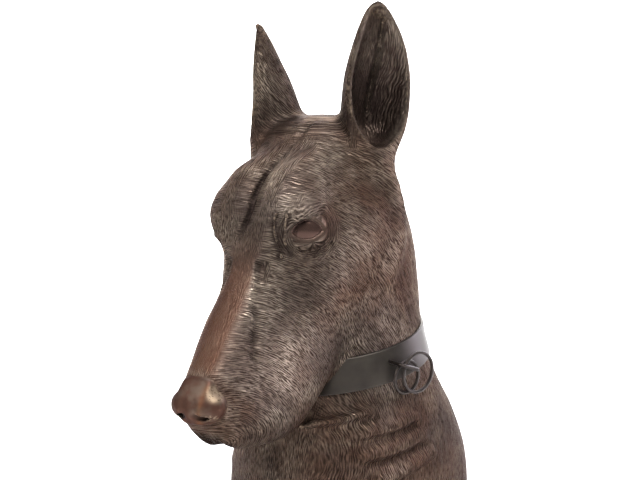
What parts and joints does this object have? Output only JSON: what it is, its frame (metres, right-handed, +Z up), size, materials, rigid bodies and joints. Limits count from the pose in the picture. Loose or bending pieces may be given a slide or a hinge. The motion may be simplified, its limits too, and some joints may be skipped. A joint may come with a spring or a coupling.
{
  "type": "dog bust statue",
  "caption": "Bronze bust of a Great Dane with upright cropped ears, a plain collar and rings hanging from a staple on its left side, cut flat to stand.",
  "frame": {"origin": "middle of the flat underside, below the neck", "axes": "+Z up, the dog looks along -Y, its left side is +X"},
  "size_m": [0.2077, 0.3768, 0.4467],
  "materials": {
    "brown_bronze": "dark brown chased and patinated bronze",
    "grey_bronze": "grey patinated bronze, smooth",
    "dark_bronze": "dark patinated bronze wire"
  },
  "bodies": {
    "root": {"dog_bust": "brown_bronze", "collar": "grey_bronze", "ring_staple": "dark_bronze", "ring_large": "dark_bronze", "ring_small": "dark_bronze"}
  },
  "joints": []
}
